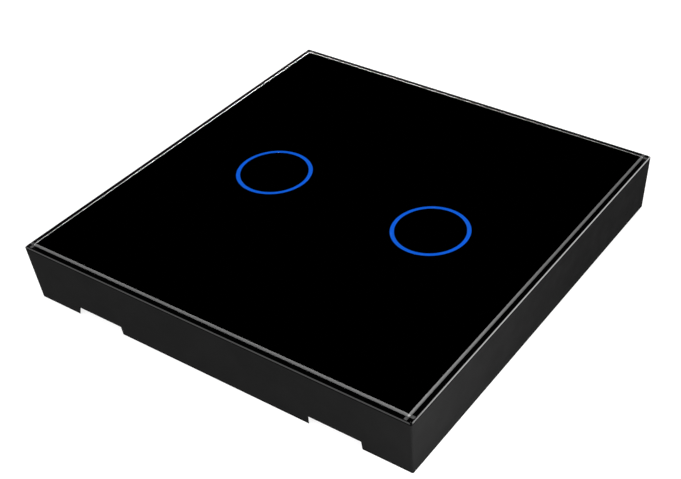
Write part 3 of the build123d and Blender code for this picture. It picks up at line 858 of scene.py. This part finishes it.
# Conductors on the board's back, by the points of their lines. The paired ones are on both sides.
paired_tracks = (
    ((18.5, 12), (14, 12), (12.2, 10.2), (4.9, 10.2), (3.175, 11.925), (3.175, 13.2)),
    ((18.5, 14.5), (12.9, 14.5), (10, 11.6), (5.845, 11.6), (4.445, 13), (4.445, 13.3)),
    ((19.5, 14.5), (21.4, 14.5), (22.6, 13.3)),
    ((4.445, 18.8), (4.445, 19.5), (5.445, 20.5), (7.6, 20.5)),
    ((8.5, 20.5), (10.1, 20.5), (10.7, 19.9)),
    ((6, -28), (6, -24.5), (8, -22.5)),
    ((3, -28), (3, -23.5)),
)
thin_tracks = (
    ((20.3, -0.5), (20.3, 11.2), (19.5, 12)),
    ((1.905, 13.3), (1.905, 11.6)),
    ((0.635, 18.8), (0.635, 21.8), (2, 23.165), (12.4, 23.165), (13.05, 23.815), (13.05, 24.5)),
    ((1.905, 18.8), (1.905, 20.7), (3.5, 22.295), (12.6, 22.295),
     (12.9, 22.3), (13.4, 21.8), (13.5, 21.5)),
    ((14.5, 21.5), (16, 21.5), (16.6, 20.9)),
    ((14, 24.5), (14, 23.6), (14.4, 23.2)),
    ((14.95, 24.5), (14.95, 24.2), (15.9, 23.25)),
    ((14, 27.6), (14, 26.9), (13.1, 26), (10.5, 26)),
    ((9.5, 26), (8.2, 26), (7.6, 26.6)),
    ((3.175, 18.8), (3.175, 20.2)),
    ((-16.7, -0.5), (-16.7, 5), (-21, 9.3), (-21, 10.9), (-19.9, 12), (-19.5, 12)),
    ((-0.635, 13.3), (-0.635, 11.6)),
    ((-1.905, 13.3), (-1.905, 9.2)),
    ((-3.175, 18.8), (-3.175, 21)),
    ((-1.905, 18.8), (-1.905, 22.4)),
    ((-0.635, 18.8), (-0.635, 21)),
    ((-11.9, 27.6), (-11.2, 28.3), (12.2, 28.3), (12.9, 27.6)),
    ((-14.5, 21.5), (-16.2, 23.2), (-16.2, 25.4)),
    ((-13.5, 21.5), (-11.8, 23.2), (-11.8, 25.4)),
    ((-16.1, 27.6), (-17.6, 29.1)),
    ((0, -28), (0, -22.5)),
)
wide_tracks = [
    (0.4, ((18.5, -15.5), (12.65, -15.5))),
    (0.4, ((20.1, -20), (22.5, -20))),
    (0.4, ((18.5, -15.5), (22, -15.5))),
    (0.4, ((0.635, 11.6), (0.635, 13.3))),
    (0.4, ((-18.5, -15), (-20.5, -15), (-21.5, -16), (-21.5, -19), (-20.5, -20), (-18.5, -20))),
    (0.4, ((-17.5, -15), (-14, -15), (-12.65, -13.65), (-12.65, -10))),
    (0.4, ((-17.5, -20), (-14.4, -20))),
    (0.6, ((14.95, 27.6), (14.95, 28.6), (14.05, 29.5), (2.7, 29.5))),
    (1.2, ((12.65, -10), (12.65, -15.9), (16.6, -19.85))),
    (1.2, ((12.65, -6), (12.65, 4.5), (9, 8.15), (2.8, 8.15), (0.635, 10.315), (0.635, 11.6))),
]
paired_vias = (
    (22.6, 13.3), (10.7, 19.9), (8, -22.5), (3, -23.5), (26, 30), (30, 12), (30, -12), (26, -30),
)
other_vias = (
    (22.5, -20), (22, -15.5), (20.3, -0.5), (1.905, 11.6), (16.6, 20.9), (14.4, 23.2), (15.9, 23.25),
    (7.6, 26.6), (3.175, 20.2), (-16.7, -0.5), (-0.635, 11.6), (-1.905, 9.2), (-3.175, 21),
    (-1.905, 22.4), (-0.635, 21), (-17.6, 29.1), (-14.4, -20), (0, -22.5), (0, -34), (0, 35),
)
test_pads = [(x, -28) for x in (-6, -3, 0, 3, 6)]


def mirrored(points):
    """The same points on the other side of the board's middle line."""
    return tuple((-x, y) for x, y in points)


def chip_pins():
    """Tips of the pins of the chips that have them: x, y and the pin's way along y."""
    pins = []
    for name, (count, pitch) in pinned_chips.items():
        low, high = box_mm(name)
        for number in range(count):
            x = (low.x + high.x) / 2 + (number - (count - 1) / 2) * pitch
            pins += [(x, low.y, -1), (x, high.y, 1)]
    return pins


def part_pads():
    """Pads under the parts on the board's back: x, y, half width and half height."""
    pads = []
    for low, high in boxes_mm(*small_chips):
        x, y = middle(low, high)
        pads += [(x + way * small_pad_reach, y, *small_pad) for way in (-1, 1)]
    pads += [(x, y - way * pin_pad_inset, *pin_pad) for x, y, way in chip_pins()]
    x, y = middle(*box_mm("crystal"))
    reach_x, reach_y = crystal_pad_reach
    pads += [(x + a * reach_x, y + b * reach_y, *crystal_pad) for a in (-1, 1) for b in (-1, 1)]
    x, y = middle(*box_mm("tantalum_capacitor"))
    pads += [(x + way * tantalum_pad_reach, y, *tantalum_pad) for way in (-1, 1)]
    low, high = box_mm("battery_positive_clip")
    pads += [(way * (high.x - clip_pad_inset), middle(low, high)[1], *clip_pad) for way in (-1, 1)]
    return pads


def aerial_feet():
    """Where the ends of the aerial's wire meet the board's back."""
    low, high = box_mm("aerial_coil")
    inset = aerial_wire / 2 / MM
    return (low.x + inset, high.y - inset), (high.x - inset, low.y + inset)


def spring_feet():
    """Where the touch springs stand on the board's front."""
    return [((key_x(side) + spring_radius) / MM, -spring_wire / MM) for side in sides]


def board_pads():
    """Tinned pads and test points on both faces of the board, and dark discs of painted shade where its
    plated holes are.
    """
    grid = bmesh.new()
    hole_shades = bmesh.new()
    for x, y, half_x, half_y in part_pads():
        flat(grid, box_outline(x, y, half_x, half_y), on_back, pad_height)
    for x, y in test_pads:
        flat(grid, round_outline(x, y, test_pad_radius, 20), on_back, pad_height)
    for x, y in paired_vias + mirrored(paired_vias) + other_vias:
        for face in (on_back, on_front):
            flat(grid, round_outline(x, y, via_radius, 14), face, pad_height)
            # A dark disc of painted shade stands for the inside of each plated hole.
            flat(hole_shades, round_outline(x, y, via_hole_radius, 10), face, shade_disc_height)
    for low, high in boxes_mm("board_screws"):
        flat(grid, round_outline(*middle(low, high), screw_pad_radius, 32), on_back, pad_height)
    for x, y in aerial_feet():
        flat(grid, round_outline(x, y, aerial_pad_radius, 20), on_back, pad_height)
    for x, y in spring_feet():
        flat(grid, round_outline(x, y, spring_pad_radius, 20), on_front, pad_height)
    mesh_piece("board_pads", grid, "tinned_copper", "plated_screw")
    mesh_piece("painted_hole_discs", hole_shades, "painted_hole_shade", "board_laminate")


def fillet(grid, foot, way, half, reach, rise):
    """Hollow-faced wedge of solder from a part's end down to its pad on the board's back."""
    profile = (
        (-0.05, 0), (-0.05, rise), (0, rise), (reach * 0.3, rise * 0.42), (reach * 0.62, rise * 0.16),
        (reach, pad_height * 0.9), (reach, 0),
    )
    out = Vector((*way, 0))
    across = Vector((-way[1], way[0], 0))
    rings = []
    for side in (-half, half):
        base = Vector((*foot, 0)) + across * side
        points = [base + out * along + Vector((0, 0, on_back(height))) for along, height in profile]
        rings.append([grid.verts.new(point * MM) for point in points])
    grid.faces.new(rings[0])
    grid.faces.new(rings[1])
    join_rings(grid, *rings)


def fillets_at_ends(grid, low, high, *size):
    """Solder at both ends of a part that lies along x."""
    for end, way in ((low.x, -1), (high.x, 1)):
        fillet(grid, (end, middle(low, high)[1]), (way, 0), *size)


def cone(grid, x, y, face, profile):
    """Solder round an upright wire on a face of the board, from radii and heights."""
    closed(grid, [(round_outline(x, y, radius, 20), face(height)) for radius, height in profile])


def solder_joints():
    """Solder at the parts' ends and pins and round the feet of the wires."""
    grid = bmesh.new()
    for low, high in boxes_mm(*small_chips):
        fillets_at_ends(grid, low, high, *small_fillet, (high.z - low.z) * small_fillet_rise)
    for x, y, way in chip_pins():
        fillet(grid, (x, y), (0, way), *pin_fillet)
    for name, size in end_fillets.items():
        fillets_at_ends(grid, *box_mm(name), *size)
    for x, y in aerial_feet():
        cone(grid, x, y, on_back, aerial_cone)
    for x, y in spring_feet():
        cone(grid, x, y, on_front, spring_cone)
    mesh_piece("solder_joints", grid, "solder", "plated_screw", crease=50)


def board_tracks():
    """Copper lines under the varnish, and the ring of lines that joins each key's lamps."""
    grid = bmesh.new()
    thin = paired_tracks + tuple(mirrored(points) for points in paired_tracks) + thin_tracks
    for number, (width, points) in enumerate([(thin_width, points) for points in thin] + wide_tracks):
        strip(grid, points, width, on_back, track_height + number * track_step)
    for side in sides:
        for quarter in range(4):
            start, length = quarter * 90 + 45 + lamp_gap, 90 - 2 * lamp_gap
            angles = [math.radians(start + length * step / 10) for step in range(11)]
            points = [around(key_x(side) / MM, 0, lamp_circle, angle) for angle in angles]
            strip(grid, points, thin_width, on_front, track_height)
    mesh_piece("board_tracks", grid, "varnished_track", "board_laminate")


def board_silk():
    """White outlines round the parts on the board's back."""
    grid = bmesh.new()

    def line(*points):
        strip(grid, points, silk_line, on_back, silk_height)

    def widened(name, margin_x, margin_y):
        low, high = box_mm(name)
        return low.x - margin_x, high.x + margin_x, low.y - margin_y, high.y + margin_y

    for name, margin in (("touch_controller", 0.45), ("radio_transmitter", 0.35)):
        x0, x1, y0, y1 = widened(name, margin, -0.75)
        line((x0, y0), (x0, y1))
        line((x1, y0), (x1, y1))
        flat(grid, round_outline(x0 - 0.5, y0, silk_dot, 12), on_back, silk_height)
    for name, margin_x, margin_y in (("crystal", 0.7, 0.7), ("tantalum_capacitor", 0.8, 0.3)):
        x0, x1, y0, y1 = widened(name, margin_x, margin_y)
        line((x0, y0), (x0, y1), (x1, y1), (x1, y0), (x0, y0))

    # The holder's outline leaves room for the pads of the clip, whose plus sign stands beside it
    x0, x1, y0, y1 = widened("battery_holder", 0.3, 0.3)
    clip_y = middle(*box_mm("battery_positive_clip"))[1]
    pad_low, pad_high = clip_y - clip_pad[1] - 0.5, clip_y + clip_pad[1] + 0.5
    line((x0, y0), (x0, pad_low))
    line((x1, y0), (x1, pad_low))
    line((x0, pad_high), (x0, y1), (x1, y1), (x1, pad_high))
    plus_x, arm, half = silk_plus
    flat(grid, cross_outline(plus_x, clip_y, arm, half), on_back, silk_height)

    half, reach = small_silk
    for low, high in boxes_mm(*small_chips):
        x, y = middle(low, high)
        for side in (y - reach, y + reach):
            line((x - half, side), (x + half, side))
    for low, high in boxes_mm("board_screws"):
        points = round_outline(*middle(low, high), screw_silk_radius, 40)
        line(*points, points[0])
    mesh_piece("board_silk", grid, "white_print", "board_laminate")


# Camera, worked out from the corners of the switch in a picture of 681 by 479 pixels
picture_width = 681
focal_pixels = 1239.561
centre_pixel_x = 435.0  # column of the picture that the camera's own axis passes through
camera_azimuth = math.radians(33.982)
camera_elevation = math.radians(37.748)
camera_roll = math.radians(-1.761)
camera_distance = 245.313 * MM
camera_right = 16.061 * MM
camera_up = 1.891 * MM
sensor_width = 36.0


def photo_camera():
    """Camera that shows the switch as the photograph does."""
    flat_right = Vector((math.cos(camera_azimuth), math.sin(camera_azimuth), 0.0))
    flat_back = Vector((flat_right.y, -flat_right.x, 0.0)) * math.cos(camera_elevation)
    back = flat_back + Vector((0.0, 0.0, math.sin(camera_elevation)))
    flat_up = back.cross(flat_right)
    turn, lean = math.cos(camera_roll), math.sin(camera_roll)
    right = flat_right * turn + flat_up * lean
    up = flat_up * turn - flat_right * lean
    data = bpy.data.cameras.new("camera")
    data.sensor_width = sensor_width
    data.lens = focal_pixels / picture_width * sensor_width
    data.shift_x = (picture_width / 2 - centre_pixel_x) / picture_width
    data.clip_start = 0.01
    data.clip_end = 20.0
    camera = add_object("camera", data)
    spot = back * camera_distance + right * camera_right + up * camera_up
    turned = Matrix((right, up, back)).transposed().to_4x4()
    camera.matrix_world = Matrix.Translation(spot) @ turned
    bpy.context.scene.camera = camera


# Levels and sizes of the studio
low_band_ends = (0.12, 0.3)  # sines of the heights between which the white band fades out
plain_level = 0.5
floor_half = 3.0
floor_drop = 0.02 * MM
floor_glow = 0.85
floor_reach = 0.5 * MM  # shorter rays than this pass through the floor


def white_room():
    """White for the camera. Mirrors and glass see white near the horizon and dark overhead."""
    world = bpy.data.worlds.new("studio")
    bpy.context.scene.world = world
    world.use_nodes = True
    tree = world.node_tree
    sky = tree.nodes["Background"]
    sky.inputs["Color"].default_value = (1.0, 1.0, 1.0, 1.0)
    rays = node(tree, "LightPath").outputs
    height = parts_of(tree, node(tree, "TexCoord").outputs["Generated"])[2]
    low_band = ramp(tree, height, *low_band_ends, 1.0, 0.0)
    bent = most(tree, rays["Is Glossy Ray"], rays["Is Transmission Ray"])
    white = most(tree, rays["Is Camera Ray"], times(tree, bent, low_band))
    plain_light = times(tree, calc(tree, "SUBTRACT", 1.0, bent), plain_level)
    tree.links.new(most(tree, white, plain_light), sky.inputs["Strength"])


def white_floor():
    """Floor that is white to the camera, mirrors and glass, and can't be seen from below."""
    made = bpy.data.materials.new("white_floor")
    made.use_nodes = True
    tree = made.node_tree
    tree.nodes.remove(tree.nodes["Principled BSDF"])
    rays = node(tree, "LightPath").outputs
    seen = most(tree, rays["Is Camera Ray"], rays["Is Glossy Ray"], rays["Is Transmission Ray"])
    lit = node(tree, "BsdfDiffuse", {"Color": (0.3, 0.3, 0.3, 1.0)}).outputs[0]
    glow = node(tree, "Emission", {"Strength": times(tree, seen, floor_glow)}).outputs[0]
    both = node(tree, "AddShader", {0: lit, 1: glow}).outputs[0]
    through = node(tree, "BsdfTransparent").outputs[0]
    below = node(tree, "NewGeometry").outputs["Backfacing"]
    short = calc(tree, "LESS_THAN", rays["Ray Length"], floor_reach)
    beneath = times(tree, short, calc(tree, "SUBTRACT", 1.0, rays["Is Camera Ray"]))
    clear = most(tree, below, beneath)
    shown = node(tree, "MixShader", {0: clear, 1: both, 2: through}).outputs[0]
    tree.links.new(shown, tree.nodes["Material Output"].inputs["Surface"])

    mesh = bpy.data.meshes.new("floor")
    corners = [(x, y, 0) for x, y in box_outline(0, 0, floor_half, floor_half)]
    mesh.from_pydata(corners, [], [(0, 1, 2, 3)])
    mesh.materials.append(made)
    floor = add_object("floor", mesh)
    floor.location.z = -floor_drop


def lamp(name, direction, distance, width, height, power, hidden_from):
    """Area lamp that looks at the switch from a direction. It shows in no view and through no glass."""
    data = bpy.data.lights.new(name, "AREA")
    data.shape = "RECTANGLE"
    data.size = width
    data.size_y = height
    data.energy = power
    made = add_object(name, data)
    way = Vector(direction).normalized()
    made.location = way * distance
    made.rotation_mode = "QUATERNION"
    made.rotation_quaternion = (-way).to_track_quat("-Z", "Y")
    for kind in ("camera", "transmission", hidden_from):
        setattr(made, "visible_" + kind, False)


def lamps():
    """Soft lamps that mirrors don't show, three of them with a sheen lamp that only mirrors show.

    A sheen lamp stands nearer than its soft one, because a mirror ray ends at the first lamp.
    """
    lamp("key", (-0.5, -0.8, 0.36), 0.9, 0.9, 0.6, 7.3, "glossy")
    lamp("key_sheen", (-0.5, -0.8, 0.36), 0.85, 0.85, 0.57, 0.45, "diffuse")
    lamp("edge", (0.67, 0.63, 0.39), 0.6, 0.22, 0.22, 1.6, "glossy")
    lamp("edge_sheen", (0.65, 0.665, 0.375), 0.55, 0.26, 0.16, 0.24, "diffuse")
    lamp("back", (-0.66, 0.75, 0.2), 0.8, 0.6, 0.26, 8.0, "glossy")
    lamp("back_sheen", (-0.66, 0.75, 0.07), 0.75, 0.56, 0.02, 16.0, "diffuse")
    lamp("corner", (0.845, -0.497, 0.2), 0.1, 0.03, 0.03, 0.038, "glossy")


bpy.context.scene.view_settings.view_transform = "Standard"
finish_nodes()
touch_springs()
aerial()
screws()
board_pads()
solder_joints()
board_tracks()
board_silk()
photo_camera()
white_room()
white_floor()
lamps()
